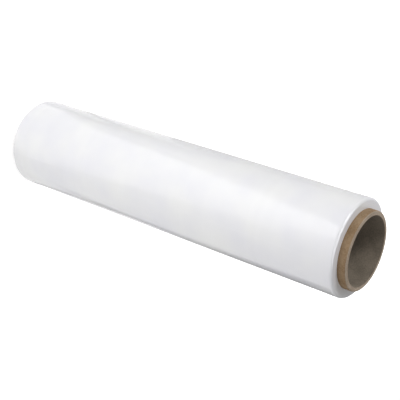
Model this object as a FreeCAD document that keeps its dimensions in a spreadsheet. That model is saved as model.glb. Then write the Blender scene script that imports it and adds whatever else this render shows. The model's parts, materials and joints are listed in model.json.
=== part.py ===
import FreeCAD, Part
import os

import Sketcher

# A hand roll of stretch film on a cardboard core, standing on one end of the core.
# The axis of the roll is Z. The origin is the centre of the end that it stands on.

SHEET = "sizes"
PARTS_FOLDER = "parts"

# Driving dimensions in millimetres, with the sheet's name and note for each
DRIVING_SIZES = (
    ("core_bore", 76.2, "Inside diameter of the core, for a 3 inch mandrel"),
    ("core_wall", 4.6, "Thickness of the core's wound paperboard"),
    ("core_edge_bevel", 1.1, "Bevel on the core's outer edges, where handling has worn them"),
    ("upper_overhang", 9.5, "How far the core sticks out past the film at the upper end"),
    ("lower_overhang", 6.0, "How far it sticks out at the end that the roll stands on"),
    ("film_width", 457.0, "Width of the film web, 18 inches"),
    ("film_build", 10.8, "Thickness of all the turns of film together"),
    ("shoulder_radius", 3.0, "Rounding where the outermost turns have drawn in"),
    ("turn_spacing", 1.2, "From one line between turns to the next on an end face"),
    ("turn_line_width", 0.6, "Width of a line between turns at the end face"),
    ("turn_line_depth", 0.5, "Depth of a line between turns"),
)

# Sizes worked out from the sheet, as expressions that the sketches share
CORE_DIAMETER = f"{SHEET}.core_bore + 2 * {SHEET}.core_wall"
CORE_RADIUS = f"({SHEET}.core_bore / 2 + {SHEET}.core_wall)"
CORE_LENGTH = f"{SHEET}.lower_overhang + {SHEET}.film_width + {SHEET}.upper_overhang"

# How a sketch numbers the points of a line or circle, its own origin and its horizontal axis
POINT = {"start": 1, "end": 2, "centre": 3}
SKETCH_ORIGIN = (-1, 1)
HORIZONTAL_AXIS = -1

FULL_TURN = 360.0

# The property that holds the size of each kind of softened edge
SOFTENED_BY = {"Fillet": "Radius", "Chamfer": "Size"}

doc = FreeCAD.newDocument("StretchWrapRoll")


# The spreadsheet that holds every driving dimension
def make_sheet():
    sheet = doc.addObject("Spreadsheet::Sheet", SHEET)
    for row, (alias, value, meaning) in enumerate(DRIVING_SIZES, start=1):
        sheet.set(f"A{row}", alias)
        sheet.set(f"B{row}", str(value))
        sheet.setAlias(f"B{row}", alias)
        sheet.set(f"C{row}", meaning)
    doc.recompute()
    return sheet


# A body of its own for each separate piece
def new_body(name):
    body = doc.addObject("PartDesign::Body", name)
    body.Label = name
    return body


# A sketch on one of the body's own origin planes
def new_sketch(body, name, plane_role):
    sketch = body.newObject("Sketcher::SketchObject", name)
    plane = next(feature for feature in body.Origin.OriginFeatures if feature.Role == plane_role)
    sketch.AttachmentSupport = [(plane, "")]
    sketch.MapMode = "FlatFace"
    return sketch


# A dimension whose value comes from the sheet
def bind(sketch, kind, references, start_value, expression):
    index = sketch.addConstraint(Sketcher.Constraint(kind, *references, start_value))
    sketch.setExpression(f"Constraints[{index}]", expression)


# A closed outline of straight lines with joined corners
def closed_outline(sketch, corners):
    points = [FreeCAD.Vector(x, y, 0) for x, y in corners]
    lines = []
    for start, end in zip(points, points[1:] + points[:1]):
        lines.append(sketch.addGeometry(Part.LineSegment(start, end), False))
    for line, following in zip(lines, lines[1:] + lines[:1]):
        joint = (line, POINT["end"], following, POINT["start"])
        sketch.addConstraint(Sketcher.Constraint("Coincident", *joint))
    return lines


# The two outermost circles of a round piece, rounded or bevelled by a size from the sheet
def soften_outer_edges(body, name, kind, base, outer_radius, size_name):
    rims = []
    for number, edge in enumerate(base.Shape.Edges, start=1):
        is_round = isinstance(edge.Curve, Part.Circle)
        if is_round and abs(edge.Curve.Radius - outer_radius) < Part.Precision.confusion():
            rims.append(f"Edge{number}")
    softened = body.newObject(f"PartDesign::{kind}", name)
    softened.Base = (base, rims)
    softened.setExpression(SOFTENED_BY[kind], f"{SHEET}.{size_name}")
    doc.recompute()
    return softened


# The core: paperboard plies wound into one tube, cut square at both ends
def make_core(sizes):
    body = new_body("core")
    section = new_sketch(body, "core_section", "XY_Plane")
    centre = FreeCAD.Vector(0, 0, 0)
    up = FreeCAD.Vector(0, 0, 1)
    bore_radius = sizes.core_bore / 2
    outer_radius = bore_radius + sizes.core_wall
    bore = section.addGeometry(Part.Circle(centre, up, bore_radius), False)
    outside = section.addGeometry(Part.Circle(centre, up, outer_radius), False)
    for circle in (bore, outside):
        section.addConstraint(Sketcher.Constraint("Coincident", circle, POINT["centre"], *SKETCH_ORIGIN))
    bind(section, "Diameter", (bore,), 2 * bore_radius, f"{SHEET}.core_bore")
    bind(section, "Diameter", (outside,), 2 * outer_radius, CORE_DIAMETER)

    tube = body.newObject("PartDesign::Pad", "core_tube")
    tube.Profile = section
    tube.setExpression("Length", CORE_LENGTH)
    doc.recompute()
    soften_outer_edges(body, "worn_edges", "Chamfer", tube, outer_radius, "core_edge_bevel")
    return body


# The block of film: a rectangle beside the axis, turned once round it
def add_film_block(body, sizes):
    inner = sizes.core_bore / 2 + sizes.core_wall
    outer = inner + sizes.film_build
    width = sizes.film_width
    section = new_sketch(body, "film_section", "XZ_Plane")
    bottom, outside, top, inside = closed_outline(
        section, ((inner, 0), (outer, 0), (outer, width), (inner, width))
    )
    for line in (bottom, top):
        section.addConstraint(Sketcher.Constraint("Horizontal", line))
    for line in (outside, inside):
        section.addConstraint(Sketcher.Constraint("Vertical", line))
    section.addConstraint(Sketcher.Constraint("PointOnObject", bottom, POINT["start"], HORIZONTAL_AXIS))
    bind(section, "DistanceX", (*SKETCH_ORIGIN, bottom, POINT["start"]), inner, CORE_RADIUS)
    across = (bottom, POINT["start"], bottom, POINT["end"])
    along = (outside, POINT["start"], outside, POINT["end"])
    bind(section, "DistanceX", across, sizes.film_build, f"{SHEET}.film_build")
    bind(section, "DistanceY", along, width, f"{SHEET}.film_width")

    block = body.newObject("PartDesign::Revolution", "film_block")
    block.Profile = section
    block.ReferenceAxis = (section, ["V_Axis"])
    block.Angle = FULL_TURN
    doc.recompute()
    return block


# One line between turns: a narrow V cut into an end face
def add_turn_line(sketch, sizes, number, at_top):
    spacings_out = number + 0.5
    centre = sizes.core_bore / 2 + sizes.core_wall + sizes.turn_spacing * spacings_out
    left = centre - sizes.turn_line_width / 2
    right = centre + sizes.turn_line_width / 2
    face = sizes.film_width if at_top else 0
    root = sizes.film_width - sizes.turn_line_depth if at_top else sizes.turn_line_depth
    mouth, _, falling = closed_outline(sketch, ((left, face), (right, face), (centre, root)))

    centre_expression = f"{CORE_RADIUS} + {SHEET}.turn_spacing * {spacings_out}"
    left_expression = f"{centre_expression} - {SHEET}.turn_line_width / 2"
    root_expression = f"{SHEET}.turn_line_depth"
    if at_top:
        root_expression = f"{SHEET}.film_width - {root_expression}"
        bind(sketch, "DistanceY", (*SKETCH_ORIGIN, mouth, POINT["start"]), face, f"{SHEET}.film_width")
    else:
        sketch.addConstraint(Sketcher.Constraint("PointOnObject", mouth, POINT["start"], HORIZONTAL_AXIS))
    sketch.addConstraint(Sketcher.Constraint("Horizontal", mouth))
    bind(sketch, "DistanceX", (*SKETCH_ORIGIN, mouth, POINT["start"]), left, left_expression)
    across = (mouth, POINT["start"], mouth, POINT["end"])
    tip = (*SKETCH_ORIGIN, falling, POINT["start"])
    bind(sketch, "DistanceX", across, sizes.turn_line_width, f"{SHEET}.turn_line_width")
    bind(sketch, "DistanceX", tip, centre, centre_expression)
    bind(sketch, "DistanceY", tip, root, root_expression)


# The lines between turns on both end faces, as many as the flat of the face has room for
def cut_turn_lines(body, shoulders, sizes):
    flat_width = sizes.film_build - sizes.shoulder_radius
    line_count = int(flat_width / sizes.turn_spacing)
    lines = new_sketch(body, "turn_lines", "XZ_Plane")
    for number in range(line_count):
        add_turn_line(lines, sizes, number, at_top=False)
        add_turn_line(lines, sizes, number, at_top=True)

    groove = body.newObject("PartDesign::Groove", "turn_grooves")
    groove.Profile = lines
    groove.ReferenceAxis = (lines, ["V_Axis"])
    groove.Angle = FULL_TURN
    doc.recompute()
    if groove.Shape.Volume >= shoulders.Shape.Volume:
        raise RuntimeError("The lines between the turns cut nothing")


# The film: every turn of the web, wound tight on the core and gripping it
def make_film_roll(sizes):
    body = new_body("film_roll")
    block = add_film_block(body, sizes)
    outer_radius = sizes.core_bore / 2 + sizes.core_wall + sizes.film_build
    shoulders = soften_outer_edges(body, "film_shoulders", "Fillet", block, outer_radius, "shoulder_radius")
    cut_turn_lines(body, shoulders, sizes)
    body.setExpression("Placement.Base.z", f"{SHEET}.lower_overhang")
    doc.recompute()
    return body


# Stop before writing anything if a feature failed or a piece isn't one sound solid
def check_model(bodies):
    for item in doc.Objects:
        if "Invalid" in item.State or "Error" in item.State:
            raise RuntimeError(f"{item.Label} failed: {item.State}")
    for body in bodies:
        shape = body.Shape
        if shape.isNull() or not shape.isValid() or len(shape.Solids) != 1:
            raise RuntimeError(f"{body.Label} isn't one valid solid")


# Each piece goes to a file with its own name
def write_pieces(bodies):
    os.makedirs(PARTS_FOLDER, exist_ok=True)
    for body in bodies:
        body.Shape.exportStep(os.path.join(PARTS_FOLDER, f"{body.Label}.step"))
        box = body.Shape.optimalBoundingBox()
        print(f"{body.Label}: {body.Shape.Volume:.0f} mm3, radius {box.XMax:.2f} mm")
        print(f"{body.Label}: from {box.ZMin:.2f} to {box.ZMax:.2f} mm up")


sizes = make_sheet()
pieces = [make_core(sizes), make_film_roll(sizes)]
check_model(pieces)
write_pieces(pieces)
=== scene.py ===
# %% [markdown]
# # A roll of stretch wrap
#
# Stretch wrap is a thin clear film that clings to itself. It is wound by the hundred metres on a cardboard
# core, which sticks out a little at each end so that hands or a dispenser can hold it. One layer is as clear
# as glass, but a thousand of them scatter the light between them, and the roll looks silvery white.
#
# The measured model of the roll comes in first and stays as it is. Everything below dresses it: the finer
# meshes take their sizes from it, so they can't drift away from the real piece.

# %% Load the measured roll
import json
import math

import bmesh
import bpy
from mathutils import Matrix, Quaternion, Vector, noise


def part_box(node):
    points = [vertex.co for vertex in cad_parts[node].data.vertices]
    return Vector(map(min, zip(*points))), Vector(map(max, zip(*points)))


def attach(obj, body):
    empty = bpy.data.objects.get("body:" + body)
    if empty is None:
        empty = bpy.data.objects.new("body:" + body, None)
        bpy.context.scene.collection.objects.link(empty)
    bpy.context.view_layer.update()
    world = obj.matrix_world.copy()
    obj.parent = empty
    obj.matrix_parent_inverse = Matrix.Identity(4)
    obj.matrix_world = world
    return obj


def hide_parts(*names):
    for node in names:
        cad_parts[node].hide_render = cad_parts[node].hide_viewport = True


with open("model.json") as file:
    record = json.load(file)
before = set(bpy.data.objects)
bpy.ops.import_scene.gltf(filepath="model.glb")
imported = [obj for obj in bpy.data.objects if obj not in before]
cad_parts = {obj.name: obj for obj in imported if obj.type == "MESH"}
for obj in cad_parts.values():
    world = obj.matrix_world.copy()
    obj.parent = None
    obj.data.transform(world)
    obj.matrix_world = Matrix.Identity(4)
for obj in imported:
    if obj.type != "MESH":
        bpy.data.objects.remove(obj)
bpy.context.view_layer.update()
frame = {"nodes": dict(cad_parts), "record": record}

print("measured pieces:", sorted(frame["nodes"]))

# %% [markdown]
# ## Sizes
#
# Blender works in metres here, and a roll is thought of in millimetres, so one named value turns one into the
# other. The radii and heights are read from the measured pieces. The bore is stated in the record as a mount,
# which is more exact than the facets of a mesh.

# %% Read the roll's sizes
MM = 0.001


def widest(node):
    """Half the greatest width of a round piece that stands on the origin."""
    low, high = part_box(node)
    return max(high.x, high.y, -low.x, -low.y)


core_low, core_high = (corner.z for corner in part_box("core"))
film_low, film_high = (corner.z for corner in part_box("film_roll"))
core_radius = widest("core")
film_radius = widest("film_roll")
core_middle = (core_low + core_high) / 2
film_middle = (film_low + film_high) / 2
core_bore = next(mount for mount in frame["record"]["mounts"] if mount["name"] == "core_bore")
bore_radius = core_bore["dims"]["r_mm"] * MM
print(f"film {film_low:.4f} to {film_high:.4f} m, radius {film_radius:.4f}")
print(f"core {core_low:.4f} to {core_high:.4f} m, radius {core_radius:.4f}, bore {bore_radius:.4f}")

# %% [markdown]
# ## Helpers for meshes
#
# Both pieces are round, so both start as the outline of half a section beside the axis, and a spin turns it
# once round. A cylinder with a bevel would be quicker, but it leaves nowhere to cut the rings on the ends. A
# full spin with use_merge joins the last step to the first, which closes the seam. After that the faces are
# made to point outwards, because a spin can turn them either way.


# %% Outline, spin and finish
def section_loop(bm, inner, outer, low, high):
    """A rectangle of four vertices in the XZ plane, and its edges: bottom, outside, top, inside."""
    places = ((inner, 0, low), (outer, 0, low), (outer, 0, high), (inner, 0, high))
    corners = [bm.verts.new(place) for place in places]
    return [bm.edges.new(pair) for pair in zip(corners, corners[1:] + corners[:1])]


def round_corners(bm, verts, radius, segments):
    """Rounds corners of an outline that has no faces yet."""
    bmesh.ops.bevel(
        bm, geom=verts, offset=radius, offset_type="OFFSET", affect="VERTICES",
        segments=segments, profile=0.5, material=-1,
    )


def push_in(vert, depth, middle):
    """Moves a vertex into the piece, from whichever end it is nearer to."""
    vert.co.z += depth if vert.co.z < middle else -depth


def spin_round(bm, steps):
    """Turns the outline once round the Z axis into a closed ring."""
    bmesh.ops.spin(
        bm, geom=bm.verts[:] + bm.edges[:], cent=(0, 0, 0), axis=(0, 0, 1),
        angle=math.tau, steps=steps, use_merge=True, use_duplicate=False,
    )
    bmesh.ops.remove_doubles(bm, verts=bm.verts[:], dist=0.001 * MM)
    bmesh.ops.recalc_face_normals(bm, faces=bm.faces[:])


def finished_piece(name, bm, materials):
    """A smooth-shaded object at the origin, with its place in its mesh."""
    mesh = bpy.data.meshes.new(name)
    for face in bm.faces:
        face.smooth = True
    bm.to_mesh(mesh)
    open_edges = sum(not edge.is_manifold for edge in bm.edges)
    bm.free()
    for material in materials:
        mesh.materials.append(material)
    piece = bpy.data.objects.new(name, mesh)
    bpy.context.scene.collection.objects.link(piece)
    triangles = sum(len(polygon.vertices) - 2 for polygon in mesh.polygons)
    print(f"{name}: {triangles} triangles, {open_edges} open edges")
    return piece


# %% [markdown]
# ## Helpers for materials
#
# A colour is easiest to compare with the real thing as a hex code, which is how a screen shows it. Shaders
# need linear light, so one function converts. Another adds a node, sets it and links it in one line, and
# every material below is built with it. A Mix node has a set of sockets for each kind of value, and the
# sets share their names, so its sockets are called by number.


# %% Colours and nodes
FIRST_COLOUR, SECOND_COLOUR, MIXED_COLOUR = 6, 7, 2
FIRST_VALUE, SECOND_VALUE = 2, 3


def linear(code):
    """A colour written as a hex code, as linear light with full alpha."""
    screen = [int(code[place:place + 2], 16) / 255 for place in (1, 3, 5)]
    light = [value / 12.92 if value <= 0.04045 else ((value + 0.055) / 1.055) ** 2.4 for value in screen]
    return (*light, 1.0)


def add_node(tree, kind, inputs=None, **settings):
    """Adds one shader node. An input is a plain value, or another node's output to link."""
    node = tree.nodes.new(f"ShaderNode{kind}")
    for name, value in settings.items():
        setattr(node, name, value)
    for name, value in (inputs or {}).items():
        socket = node.inputs[name]
        if isinstance(value, bpy.types.NodeSocket):
            tree.links.new(value, socket)
        else:
            socket.default_value = value
    return node


def empty_material(name):
    """A new material whose tree holds nothing but its output."""
    material = bpy.data.materials.new(name)
    material.use_nodes = True
    tree = material.node_tree
    tree.nodes.clear()
    return material, tree, add_node(tree, "OutputMaterial")


def connect_surface(tree, output, shader):
    """The shader becomes the material's surface."""
    tree.links.new(shader.outputs[0], output.inputs["Surface"])


# %% [markdown]
# ## The look of wound film
#
# The film is clear linear low density polyethylene, cast on a chill roll, so its face is glossy with a soft
# sheen. On the roll it shows three things. Die lines run along the web, which is round the roll, and thick
# and thin lanes in the web build up into faint bands. Air caught between the turns whitens some patches more
# than others. And the cut edges of the turns, at the ends, show as fine rings.
#
# Clear film on a thousand turns could be made as glass with a white core, but that renders slowly and grainy.
# An opaque pale plastic with a clear gloss gives the same look from a step away. The real die lines are
# hundredths of a millimetre apart, too fine for a picture of the whole roll, so they are drawn 1.2 mm apart.
#
# All of the lines are rings about the axis. So the pattern reads two numbers only, the distance from the axis
# and the height, and one texture draws lines round the side and rings on the ends alike.


# %% Wound film
def ring_coordinates(tree):
    """Distance from the axis and height, as a texture coordinate that is the same all the way round."""
    place = add_node(tree, "TexCoord").outputs["Object"]
    axes = add_node(tree, "SeparateXYZ", {0: place})
    flat = add_node(tree, "CombineXYZ", {"X": axes.outputs["X"], "Y": axes.outputs["Y"]})
    reach = add_node(tree, "VectorMath", {0: flat.outputs[0]}, operation="LENGTH")
    return add_node(tree, "CombineXYZ", {"X": reach.outputs["Value"], "Z": axes.outputs["Z"]}).outputs[0]


def make_film_material():
    """Pale plastic: whiter where air is caught, and finely lined round the roll."""
    material, tree, output = empty_material("wound LLDPE film")
    rings = ring_coordinates(tree)
    place = add_node(tree, "TexCoord").outputs["Object"]
    lane_width = 14 * MM
    line_width = 1.2 * MM
    line_height = 0.1 * MM
    patch_size = 55 * MM
    clear_patch, airy_patch = linear("#E5E5EA"), linear("#ECECEC")
    clear_to_airy = {"From Min": 0.25, "From Max": 0.75}
    thin_lane, thick_lane = 0.985, 1.0
    clear_roughness, airy_roughness = 0.12, 0.18
    lanes = add_node(tree, "TexNoise", {"Vector": rings, "Scale": 1 / lane_width, "Detail": 3.0})
    lines = add_node(tree, "TexNoise", {"Vector": rings, "Scale": 1 / line_width, "Detail": 2.0})
    patches = add_node(tree, "TexNoise", {"Vector": place, "Scale": 1 / patch_size, "Detail": 2.0})

    patch_share = add_node(
        tree, "MapRange", {"Value": patches.outputs["Fac"], **clear_to_airy},
        interpolation_type="SMOOTHSTEP",
    )
    tint = add_node(
        tree, "Mix", {"Factor": patch_share.outputs[0], FIRST_COLOUR: clear_patch, SECOND_COLOUR: airy_patch},
        data_type="RGBA",
    )
    lane_shade = add_node(
        tree, "MapRange",
        {
            "Value": lanes.outputs["Fac"],
            "From Min": 0.3,
            "From Max": 0.7,
            "To Min": thin_lane,
            "To Max": thick_lane,
        },
    )
    colour = add_node(
        tree, "Mix",
        {"Factor": 1.0, FIRST_COLOUR: tint.outputs[MIXED_COLOUR], SECOND_COLOUR: lane_shade.outputs[0]},
        data_type="RGBA", blend_type="MULTIPLY",
    )
    roughness = add_node(
        tree, "MapRange",
        {
            "Value": patches.outputs["Fac"],
            **clear_to_airy,
            "To Min": clear_roughness,
            "To Max": airy_roughness,
        },
    )
    relief = add_node(
        tree, "Bump", {"Height": lines.outputs["Fac"], "Strength": 0.25, "Distance": line_height}
    )
    film = add_node(
        tree, "BsdfPrincipled",
        {
            "Base Color": colour.outputs[MIXED_COLOUR],
            "Roughness": roughness.outputs[0],
            "IOR": 1.51,
            "Normal": relief.outputs[0],
        },
    )
    connect_surface(tree, output, film)
    print(f"{material.name}: {len(tree.nodes)} nodes")
    return material


film_material = make_film_material()

# %% [markdown]
# ## The wound film
#
# The film's section is a rectangle with its two outer corners rounded, because the outermost turns draw in a
# little at their edges. The corners are rounded before anything is cut: a bevel on an outline that is already
# cut folds back over the cuts. Then the outline gets many cuts along its ends and its side. Each cut on an
# end is the edge of a handful of turns, and turns never line up exactly when they are wound, so each is set
# in by its own small amount.
#
# The side isn't a perfect cylinder either. Film necks in as it is cast, which leaves the two edges of the web
# thicker than its middle, so the roll has a low bead round each end. Lanes of thicker film stand proud all
# the way round, slack turns bulge over caught air, and shallow wrinkles run along the roll. They are
# hundredths of a millimetre deep and drawn up to three times deeper here, because all that shows of them from
# a step away is how they bend the highlight. All of it is cut into the side, so nothing stands past the
# measured radius.
#
# The last turn's tail is a straight edge along the roll. One film is about 0.02 mm thick, and the step is
# drawn three times that, to catch the light. The radius drops there and climbs back evenly over the turn.

# %% Film roll
ROUND_STEPS = 320
SHOULDER_RADIUS = 3.0 * MM
SHOULDER_SEGMENTS = 8
TURN_EDGE_SPACING = 0.45 * MM
TURN_EDGE_DEPTH = 0.22 * MM
TURN_EDGE_VARIATION = MM / 1.7
EDGE_MARGIN = 0.1 * MM
LANE_CUTS = 190
LANE_HEIGHT = 0.045 * MM
LANE_WIDTH = 9 * MM
BEAD_HEIGHT = 0.20 * MM
BEAD_WIDTH = 15 * MM
BEAD_SLOPE = 2 * MM
BEAD_GROOVE = 0.10 * MM
SLACK_HEIGHT = 0.10 * MM
SLACK_LENGTH = 70 * MM
SLACK_ROUND = 1.8
WRINKLE_HEIGHT = 0.06 * MM
WRINKLE_LENGTH = 45 * MM
WRINKLES_ROUND = 9
TAIL_STEP = 0.06 * MM
TAIL_ANGLE = math.radians(-65)
ON_THE_CORE = 0.01


def even_noise(*place):
    """Smooth noise between 0 and 1, the same on every run."""
    return 0.5 + 0.5 * max(-1.0, min(1.0, noise.noise(Vector(place))))


def longest_edges(bm, count):
    """The longest edges of an outline, longest first."""
    return sorted(bm.edges, key=lambda edge: edge.calc_length(), reverse=True)[:count]


def cut_section(bm):
    """Cuts the side into lanes, and the flats of the two ends between turns."""
    side = next(edge for edge in longest_edges(bm, 2) if edge.verts[0].co.x > core_radius + MM)
    bmesh.ops.subdivide_edges(bm, edges=[side], cuts=LANE_CUTS)
    flats = longest_edges(bm, 3)[1:]
    end_cuts = round((film_radius - core_radius - SHOULDER_RADIUS) / TURN_EDGE_SPACING)
    bmesh.ops.subdivide_edges(bm, edges=flats, cuts=end_cuts)


def set_turns_in(bm):
    """Each cut on an end is pushed into the roll by its own amount."""
    for vert in bm.verts:
        reach = vert.co.x
        on_flat = core_radius + EDGE_MARGIN < reach < film_radius - SHOULDER_RADIUS - EDGE_MARGIN
        if on_flat:
            depth = TURN_EDGE_DEPTH * even_noise(reach / TURN_EDGE_VARIATION, 0, vert.co.z)
            push_in(vert, depth, film_middle)


def bead_inset(height):
    """How far the side lies in, past the bead at each end, with a groove where the bead stops."""
    from_end = min(height - film_low, film_high - height)
    past_bead = max(0.0, min(1.0, (from_end - BEAD_WIDTH) / BEAD_SLOPE))
    return BEAD_HEIGHT * past_bead + BEAD_GROOVE * math.sin(math.pi * past_bead)


def uneven_side(bm):
    """Beads, lanes, slack, wrinkles and the last turn's edge, cut in from the side and fading out inwards."""
    for vert in bm.verts:
        reach = math.hypot(vert.co.x, vert.co.y)
        share = (reach - core_radius) / (film_radius - core_radius)
        if share <= ON_THE_CORE:
            continue
        angle = math.atan2(vert.co.y, vert.co.x)
        east, north = math.cos(angle), math.sin(angle)
        height = vert.co.z
        lane = LANE_HEIGHT * even_noise(0, 0, height / LANE_WIDTH)
        slack = SLACK_HEIGHT * even_noise(SLACK_ROUND * east, SLACK_ROUND * north, height / SLACK_LENGTH)
        wrinkle = WRINKLE_HEIGHT * even_noise(
            WRINKLES_ROUND * east, WRINKLES_ROUND * north, height / WRINKLE_LENGTH
        )
        turned = ((angle - TAIL_ANGLE) % math.tau) / math.tau
        inset = share * (bead_inset(height) + lane + slack + wrinkle + TAIL_STEP * turned)
        vert.co.x -= inset * east
        vert.co.y -= inset * north


def make_film_roll():
    """All the turns of film as one ring: rounded, cut, set in at the ends, spun and made uneven."""
    bm = bmesh.new()
    section_loop(bm, core_radius, film_radius, film_low, film_high)
    outer_corners = [vert for vert in bm.verts if vert.co.x > film_radius - EDGE_MARGIN]
    round_corners(bm, outer_corners, SHOULDER_RADIUS, SHOULDER_SEGMENTS)
    cut_section(bm)
    set_turns_in(bm)
    spin_round(bm, ROUND_STEPS)
    uneven_side(bm)
    return finished_piece("wound_film", bm, [film_material])


wound_film = make_film_roll()
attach(wound_film, "root")
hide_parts("film_roll")

# %% [markdown]
# ## The look of the core
#
# The core is kraft paper and grey recycled board, cut in long strips, glued and wound in a spiral. The outer
# ply is brown kraft with short fibres in it. The edge of each strip meets its neighbour in a seam that climbs
# round the tube like a barber's pole. The bore shows the inner ply, which is greyer, and the sawn ends show
# the plies as pale rings with fuzz between them.
#
# One function makes all three papers, because they differ in colour and in how far the seam shows. Board is
# matt and takes its colour from two noises, fine fibres and broad blotches. Single fibres are far too thin
# for this picture, so what is drawn are clumps of them, 1.5 mm across. The seam needs the angle round the
# tube, which the arctangent of the two flat coordinates gives.


# %% Cardboard
SEAM_RISE = 160 * MM
SEAM_WIDTH = 0.012
SEAM_STRENGTH = 2.6
SEAM_HEIGHT = 0.3 * MM
FIBRE_HEIGHT = 0.15 * MM
BLOTCH_SHARE = 0.55
DARK_END, LIGHT_END = 0.38, 0.62


def make_board_material(name, dark, light, seam_shade):
    """Paper board with fibres, blotches and a spiral seam that stands out less where it is less dark."""
    material, tree, output = empty_material(name)
    place = add_node(tree, "TexCoord").outputs["Object"]
    fibre_size = 1.5 * MM
    blotch_size = 18 * MM
    fibres = add_node(tree, "TexNoise", {"Vector": place, "Scale": 1 / fibre_size, "Detail": 4.0})
    blotches = add_node(tree, "TexNoise", {"Vector": place, "Scale": 1 / blotch_size, "Detail": 3.0})
    mottle = add_node(
        tree, "Mix",
        {"Factor": BLOTCH_SHARE, FIRST_VALUE: fibres.outputs["Fac"], SECOND_VALUE: blotches.outputs["Fac"]},
        data_type="FLOAT",
    )
    paper = add_node(tree, "ValToRGB", {"Fac": mottle.outputs[0]})
    for stop, position, colour_code in zip(paper.color_ramp.elements, (DARK_END, LIGHT_END), (dark, light)):
        stop.position = position
        stop.color = linear(colour_code)

    axes = add_node(tree, "SeparateXYZ", {0: place})
    angle = add_node(tree, "Math", {0: axes.outputs["Y"], 1: axes.outputs["X"]}, operation="ARCTAN2")
    turns = add_node(tree, "Math", {0: angle.outputs[0], 1: math.tau}, operation="DIVIDE")
    climb = add_node(tree, "Math", {0: axes.outputs["Z"], 1: SEAM_RISE}, operation="DIVIDE")
    along = add_node(tree, "Math", {0: turns.outputs[0], 1: climb.outputs[0]}, operation="ADD")
    lap = add_node(tree, "Math", {0: along.outputs[0], 1: 1.0, 2: 0.0}, operation="WRAP")
    seam = add_node(tree, "MapRange", {"Value": lap.outputs[0], "From Min": 0.0, "From Max": SEAM_WIDTH})
    seam_line = add_node(tree, "MapRange", {"Value": seam.outputs[0], "To Min": seam_shade, "To Max": 1.0})
    colour = add_node(
        tree, "Mix",
        {"Factor": 1.0, FIRST_COLOUR: paper.outputs["Color"], SECOND_COLOUR: seam_line.outputs[0]},
        data_type="RGBA", blend_type="MULTIPLY",
    )
    relief = add_node(
        tree, "Bump", {"Height": fibres.outputs["Fac"], "Strength": 0.5, "Distance": FIBRE_HEIGHT}
    )
    seam_relief = add_node(
        tree, "Bump",
        {
            "Height": seam.outputs[0],
            "Strength": SEAM_STRENGTH * (1 - seam_shade),
            "Distance": SEAM_HEIGHT,
            "Normal": relief.outputs[0],
        },
    )
    board = add_node(
        tree, "BsdfPrincipled",
        {
            "Base Color": colour.outputs[MIXED_COLOUR],
            "Roughness": 0.85,
            "Specular IOR Level": 0.25,
            "Normal": seam_relief.outputs[0],
        },
    )
    connect_surface(tree, output, board)
    print(f"{material.name}: {len(tree.nodes)} nodes")
    return material


kraft = make_board_material("kraft outer ply", "#7C6448", "#957E63", seam_shade=0.7)
liner = make_board_material("grey liner ply", "#6B6255", "#84796B", seam_shade=0.98)
cut_board = make_board_material("sawn board edge", "#91806E", "#AC9C8A", seam_shade=1.0)

# %% [markdown]
# ## The core
#
# The same outline and spin as the film. A saw leaves the core's inner edges nearly sharp, and those get a
# small bevel. Handling wears the outer ones, so there the outline is dropped along a quarter of a circle. The
# ends are cut into rings, one for each ply, and every other ring of vertices is pushed in, which leaves fine
# lines between the plies. Those lines could be drawn by a texture alone, but cut in they catch the light.

# %% Core tube
PLY_COUNT = 8
PLY_LINE_DEPTH = 0.18 * MM
PLY_MARGIN = 0.1
SAWN_EDGE_RADIUS = 0.25 * MM
WORN_EDGE_RADIUS = 1.6 * MM
CORE_STEPS = 192
END_FACE_SLOPE = 0.35
KRAFT_SLOT, LINER_SLOT, CUT_SLOT = range(3)


def cut_ply_lines(bm, bottom, top):
    """Cuts both ends into plies with fine lines between, and gives back the inner and outer corners."""
    bmesh.ops.subdivide_edges(bm, edges=[bottom, top], cuts=2 * PLY_COUNT - 1)
    ply = (core_radius - bore_radius) / PLY_COUNT
    inner_corners, outer_corners = [], []
    for vert in bm.verts:
        plies_out = (vert.co.x - bore_radius) / ply
        if plies_out < PLY_MARGIN:
            inner_corners.append(vert)
        elif plies_out > PLY_COUNT - PLY_MARGIN:
            outer_corners.append(vert)
        elif abs(plies_out - round(plies_out)) < PLY_MARGIN:
            push_in(vert, PLY_LINE_DEPTH, core_middle)
    return inner_corners, outer_corners


def wear_outer_edges(bm, outer_corners):
    """Drops the outermost part of each end along a quarter of a circle."""
    for vert in bm.verts:
        into = vert.co.x - (core_radius - WORN_EDGE_RADIUS)
        if into > 0 and vert not in outer_corners:
            drop = WORN_EDGE_RADIUS - math.sqrt(max(0.0, WORN_EDGE_RADIUS ** 2 - into ** 2))
            push_in(vert, drop, core_middle)
    for vert in outer_corners:
        push_in(vert, WORN_EDGE_RADIUS, core_middle)


def make_core_tube():
    """The wound board as one tube, brown outside, grey inside and pale where it was sawn."""
    bm = bmesh.new()
    bottom, _, top, _ = section_loop(bm, bore_radius, core_radius, core_low, core_high)
    inner_corners, outer_corners = cut_ply_lines(bm, bottom, top)
    round_corners(bm, inner_corners, SAWN_EDGE_RADIUS, 2)
    wear_outer_edges(bm, outer_corners)
    spin_round(bm, CORE_STEPS)
    for face in bm.faces:
        middle = face.calc_center_median()
        outside = math.hypot(middle.x, middle.y) > (core_radius + bore_radius) / 2
        if abs(face.normal.z) > END_FACE_SLOPE:
            face.material_index = CUT_SLOT
        else:
            face.material_index = KRAFT_SLOT if outside else LINER_SLOT
    return finished_piece("core_tube", bm, [kraft, liner, cut_board])


core_tube = make_core_tube()
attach(core_tube, "root")
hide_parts("core")

# %% [markdown]
# ## Floor and backdrop
#
# The photograph's background is plain white. The floor is a real surface that takes the roll's shadow, but
# half of what the camera sees of it is a plain white glow, which lifts it to the white of the backdrop and
# keeps the shadow light. The glow's strength of 1.62 counts half, which makes 0.81 of full white, and the lit
# paint brings the rest. Light Path tells which rays come straight from the camera, or by way of a glossy or a
# clear surface, so the glow lights nothing.


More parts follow.
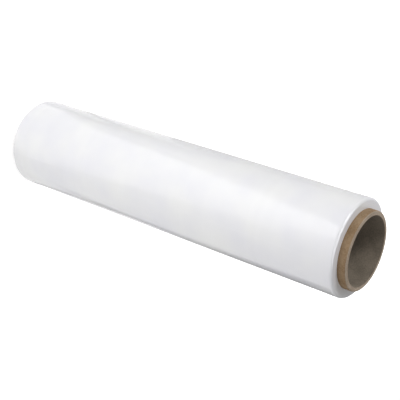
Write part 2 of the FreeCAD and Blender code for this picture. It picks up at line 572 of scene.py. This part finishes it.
# %% White surroundings
def seen_directly(tree):
    """1 for rays from the camera, and for those by way of a mirror or glass."""
    rays = add_node(tree, "LightPath")
    glossy = add_node(
        tree, "Math",
        {0: rays.outputs["Is Camera Ray"], 1: rays.outputs["Is Glossy Ray"]},
        operation="MAXIMUM",
    )
    return add_node(
        tree, "Math", {0: glossy.outputs[0], 1: rays.outputs["Is Transmission Ray"]}, operation="MAXIMUM"
    ).outputs[0]


FLOOR_SIZE = 4.0
FLOOR_GLOW_SHARE = 0.50
FLOOR_GLOW = 1.62
AMBIENT_LIGHT = 0.46


def make_floor_material():
    """White matt paint, half of it covered by a plain glow for the rays that show the floor."""
    material, tree, output = empty_material("white studio floor")
    paint = add_node(tree, "BsdfDiffuse", {"Color": linear("#F2F2F2")})
    glow = add_node(tree, "Emission", {"Color": linear("#FFFFFF"), "Strength": FLOOR_GLOW})
    share = add_node(tree, "Math", {0: seen_directly(tree), 1: FLOOR_GLOW_SHARE}, operation="MULTIPLY")
    mixed = add_node(tree, "MixShader", {0: share.outputs[0], 1: paint.outputs[0], 2: glow.outputs[0]})
    connect_surface(tree, output, mixed)
    return material


def make_world():
    """Soft even light for the roll, and plain white wherever the world itself is seen."""
    world = bpy.data.worlds.new("white studio")
    bpy.context.scene.world = world
    world.use_nodes = True
    tree = world.node_tree
    tree.nodes.clear()
    soft = add_node(tree, "Background", {"Color": linear("#FFFFFF"), "Strength": AMBIENT_LIGHT})
    white = add_node(tree, "Background", {"Color": linear("#FFFFFF"), "Strength": 1.0})
    mixed = add_node(tree, "MixShader", {0: seen_directly(tree), 1: soft.outputs[0], 2: white.outputs[0]})
    output = add_node(tree, "OutputWorld")
    tree.links.new(mixed.outputs[0], output.inputs["Surface"])
    print(f"{world.name}: ambient light {AMBIENT_LIGHT}, floor glow {FLOOR_GLOW_SHARE * FLOOR_GLOW:.2f}")


floor_bm = bmesh.new()
bmesh.ops.create_grid(floor_bm, x_segments=1, y_segments=1, size=FLOOR_SIZE)
floor = finished_piece("floor", floor_bm, [make_floor_material()])
make_world()

# %% [markdown]
# ## Camera
#
# The roll lies aslant in the photograph, with its open end towards the viewer at the lower right. Here it
# stands, so the camera looks down on it and is turned about its own line of sight until the roll leans the
# same way. The place, the lens and the turn come from matching the roll's rims and straight edges.

# %% Camera
CAMERA_PLACE = Vector((0.0, -0.8475, 0.8238))
CAMERA_AIM = Vector((0.0054, 0.0003, 0.2626))
CAMERA_ROLL = math.radians(109.0)
CAMERA_LENS = 80.95
SENSOR_WIDTH = 36.0

camera_data = bpy.data.cameras.new("camera")
camera_data.lens = CAMERA_LENS
camera_data.sensor_width = SENSOR_WIDTH
camera = bpy.data.objects.new("camera", camera_data)
bpy.context.scene.collection.objects.link(camera)
line_of_sight = CAMERA_AIM - CAMERA_PLACE
upright = line_of_sight.to_track_quat("-Z", "Y")
camera.location = CAMERA_PLACE
camera.rotation_mode = "QUATERNION"
camera.rotation_quaternion = upright @ Quaternion((0, 0, 1), CAMERA_ROLL)
bpy.context.scene.camera = camera
print(f"camera {line_of_sight.length:.3f} m from its aim, {CAMERA_LENS} mm lens")

# %% [markdown]
# ## Light
#
# The light is plain and soft, so that each colour renders about as it is written. Even light from all round,
# set with the world above, does much of the work. A broad soft box high on the left shapes the roll, and one
# low behind it brightens the edges that turn away. Two more boxes fill the front and the right. Gloss doesn't
# show those two, or each would leave a small square highlight on the film.
#
# A lamp's power in watts says little about how light a thing becomes, because size and distance count too. So
# each lamp's light is given as a share of what a plain white sky would give, and the watts follow from it.


# %% Lamps
roll_middle = Vector((0, 0, film_middle))


def add_soft_box(name, place, size, light):
    """A square lamp aimed at the roll, unseen by the camera. A light of 1 equals a plain white sky."""
    lamp = bpy.data.lights.new(name, "AREA")
    lamp.shape = "SQUARE"
    lamp.size = size
    holder = bpy.data.objects.new(name, lamp)
    bpy.context.scene.collection.objects.link(holder)
    holder.location = place
    aim = roll_middle - holder.location
    lamp.energy = light * math.pi ** 2 * aim.length_squared
    print(f"{name}: light {light}, {aim.length:.2f} m away, {lamp.energy:.2f} W")
    holder.rotation_mode = "QUATERNION"
    holder.rotation_quaternion = aim.to_track_quat("-Z", "Y")
    holder.visible_camera = False
    return holder


add_soft_box("high_left_box", place=(-1.75, -1.00, 1.70), size=1.0, light=0.36)
front_box = add_soft_box("front_box", place=(0.12, -0.80, 0.12), size=0.4, light=0.36)
right_box = add_soft_box("right_box", place=(1.20, -0.43, 0.15), size=0.5, light=0.10)
for fill_lamp in (front_box, right_box):
    fill_lamp.visible_glossy = False
add_soft_box("back_box", place=(0.10, 1.25, 0.25), size=0.6, light=0.28)

# %% [markdown]
# ## What the gloss reflects
#
# Most of what makes film look like film is what it mirrors. A product photographer stands white and black
# cards round a glossy thing for that, and so does this scene. From this camera the side of the standing roll
# mirrors the floor beside it, so most of the cards lie there, just above the floor:
#
# - The glow card in front gives the long highlight with its clean upper edge. It is brighter further out, as
#   the highlight is towards the open end, and fades towards the right, where the highlight ends softly.
# - The black card behind draws the thin dark line along the lower edge. It is only grey close to the roll, so
#   that the line grows darker towards the open end.
# - The pale card on the left takes the glare off the upper edge. It is white paint, and still darker than the
#   glow of the floor.
#
# Two more catch the open end. A glow card hangs level overhead and puts a bright line on the rounded
# shoulder. A black card stands behind the roll's upper end and darkens the right half of the flat end.
#
# Other lamps could draw the same lights, but they would light the roll as well. The cards are seen by gloss
# alone, so they add no light to the roll and leave no mark on the floor.

# %% Cards for the gloss
CARD_LIFT = 3 * MM
GLOW_START, GLOW_END = -0.05, -0.90
SIDE_FADE_START, SIDE_FADE_END, SIDE_FADE = -0.35, 0.25, 0.68
PAINT_FADE_START, PAINT_FADE_END = 0.2, 0.7
SHOULDER_CARD = ((-2.2, -1.4), (0.8, 0.9), 2.2)
BLACK_BACK_CARD = ((0.03, 0.35), (0.60, 0.35), 0.36, 1.20)
FLOOR_GLOW_CARD = (
    (-0.085, -0.01), (-0.20, -0.08), (-0.31, -0.15), (-0.42, -0.27), (-0.50, -0.42), (-0.54, -0.66),
    (-0.57, -0.86), (-0.58, -1.25), (-0.12, -1.25), (-0.08, -1.00), (0.04, -0.85), (0.17, -0.66),
    (0.21, -0.46), (0.19, -0.31), (0.14, -0.19), (0.07, -0.08),
)
FLOOR_BLACK_CARD = (
    (0.04, -0.01), (0.12, 0.01), (0.16, 0.105), (0.175, 0.24), (0.27, 0.335), (0.45, 0.38), (0.70, 0.45),
    (0.95, 0.58), (0.95, 1.30), (0.0, 1.30),
)
FLOOR_PALE_CARD = (
    (-0.075, 0.005), (-0.125, 0.02), (-0.185, 0.05), (-0.28, 0.11), (-0.36, 0.12), (-0.42, -0.03),
    (-0.80, -0.40), (-0.90, -0.75), (-1.60, -0.90), (-1.60, 1.30), (-0.06, 1.30), (-0.06, 0.30),
    (-0.03, 0.06),
)


def hang_card(name, corners, material):
    """A flat card that only the gloss of other pieces shows."""
    bm = bmesh.new()
    bmesh.ops.contextual_create(bm, geom=[bm.verts.new(corner) for corner in corners])
    card = finished_piece(name, bm, [material])
    for ray_kind in ("camera", "diffuse", "shadow", "transmission"):
        setattr(card, f"visible_{ray_kind}", False)


def on_floor(outline):
    """The corners of a card that lies just above the floor."""
    return [(x, y, CARD_LIFT) for x, y in outline]


def standing(start, end, low, high):
    """The corners of an upright card over a line on the floor."""
    return [(*start, low), (*end, low), (*end, high), (*start, high)]


def overhead(near_left, far_right, height):
    """The corners of a card hung level over the scene."""
    (left, near), (right, far) = near_left, far_right
    return [(left, near, height), (right, near, height), (right, far, height), (left, far, height)]


def make_glow_card_material(name, close, far):
    """A glow that is brighter far from the roll than close to it, and fades towards the right."""
    material, tree, output = empty_material(name)
    axes = add_node(tree, "SeparateXYZ", {0: add_node(tree, "TexCoord").outputs["Object"]})
    brightness = add_node(
        tree, "MapRange",
        {
            "Value": axes.outputs["Y"],
            "From Min": GLOW_START,
            "From Max": GLOW_END,
            "To Min": close,
            "To Max": far,
        },
    )
    fade = add_node(
        tree, "MapRange",
        {
            "Value": axes.outputs["X"],
            "From Min": SIDE_FADE_START,
            "From Max": SIDE_FADE_END,
            "To Min": 1.0,
            "To Max": SIDE_FADE,
        },
    )
    strength = add_node(tree, "Math", {0: brightness.outputs[0], 1: fade.outputs[0]}, operation="MULTIPLY")
    glow = add_node(tree, "Emission", {"Color": linear("#FFFFFF"), "Strength": strength.outputs[0]})
    connect_surface(tree, output, glow)
    return material


def make_card_paint(name, colour):
    """Plain matt card, lit by the lamps like everything else."""
    material, tree, output = empty_material(name)
    connect_surface(tree, output, add_node(tree, "BsdfDiffuse", {"Color": linear(colour)}))
    return material


def make_fading_paint(name, close, far):
    """Matt card whose colour changes evenly from close behind the roll to far behind it."""
    material, tree, output = empty_material(name)
    axes = add_node(tree, "SeparateXYZ", {0: add_node(tree, "TexCoord").outputs["Object"]})
    share = add_node(
        tree, "MapRange",
        {"Value": axes.outputs["Y"], "From Min": PAINT_FADE_START, "From Max": PAINT_FADE_END},
    )
    colour = add_node(
        tree, "Mix",
        {"Factor": share.outputs[0], FIRST_COLOUR: linear(close), SECOND_COLOUR: linear(far)},
        data_type="RGBA",
    )
    connect_surface(tree, output, add_node(tree, "BsdfDiffuse", {"Color": colour.outputs[MIXED_COLOUR]}))
    return material


glow_card_material = make_glow_card_material("glow card", close=2.5, far=3.3)
shoulder_card_material = make_glow_card_material("shoulder glow card", close=6.0, far=6.0)
floor_black_paint = make_fading_paint("black card on the floor", close="#AEAEAE", far="#484848")
black_card_paint = make_card_paint("black card", "#484848")
pale_card_paint = make_card_paint("pale card", "#F8F8F8")
hang_card("glow_card", on_floor(FLOOR_GLOW_CARD), glow_card_material)
hang_card("shoulder_glow_card", overhead(*SHOULDER_CARD), shoulder_card_material)
hang_card("black_card", on_floor(FLOOR_BLACK_CARD), floor_black_paint)
hang_card("pale_card", on_floor(FLOOR_PALE_CARD), pale_card_paint)
hang_card("black_back_card", standing(*BLACK_BACK_CARD), black_card_paint)

bpy.context.scene.view_settings.view_transform = "Standard"
